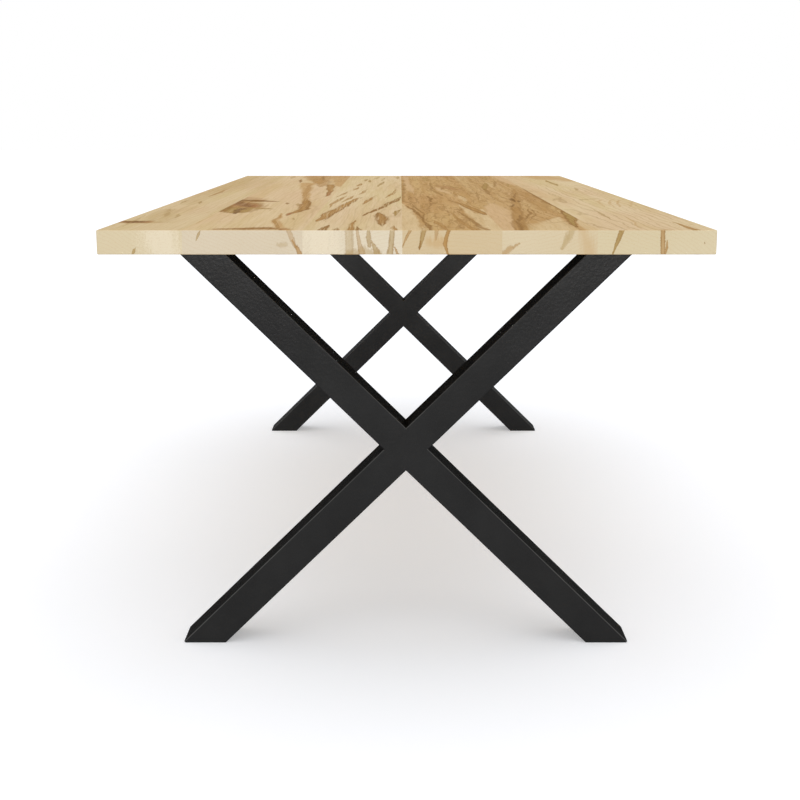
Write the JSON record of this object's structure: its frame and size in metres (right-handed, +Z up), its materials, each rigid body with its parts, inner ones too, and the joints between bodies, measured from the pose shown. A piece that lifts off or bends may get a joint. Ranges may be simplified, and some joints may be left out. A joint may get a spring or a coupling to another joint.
{
  "type": "sawbuck table",
  "caption": "Long dining table with a glued plank top of figured maple on crossed frames of black rectangular steel tube.",
  "frame": {"origin": "on the floor under the middle of the top", "axes": "+Y along the boards of the top, towards the rear frame; +X across the top; +Z up"},
  "size_m": [0.9652, 2.1336, 0.7493],
  "materials": {
    "maple": "satin oil",
    "powder_coat": "fine-texture satin black powder coat",
    "zinc": "zinc plated",
    "brass": "turned",
    "foot_rubber": "matte"
  },
  "bodies": {
    "root": {"top_board_1": "maple", "top_board_2": "maple", "top_board_3": "maple", "top_board_4": "maple", "top_board_5": "maple", "top_board_6": "maple", "front_long_brace": "powder_coat", "front_upper_brace": "powder_coat", "front_lower_brace": "powder_coat", "front_cross_welds": "powder_coat", "front_top_plate": "powder_coat", "front_plate_welds": "powder_coat", "front_left_foot_plate": "powder_coat", "front_right_foot_plate": "powder_coat", "front_left_foot_pad": "foot_rubber", "front_right_foot_pad": "foot_rubber", "front_bolts": "zinc", "front_washers": "zinc", "front_inserts": "brass", "rear_long_brace": "powder_coat", "rear_upper_brace": "powder_coat", "rear_lower_brace": "powder_coat", "rear_cross_welds": "powder_coat", "rear_top_plate": "powder_coat", "rear_plate_welds": "powder_coat", "rear_left_foot_plate": "powder_coat", "rear_right_foot_plate": "powder_coat", "rear_left_foot_pad": "foot_rubber", "rear_right_foot_pad": "foot_rubber", "rear_bolts": "zinc", "rear_washers": "zinc", "rear_inserts": "brass"}
  },
  "joints": []
}
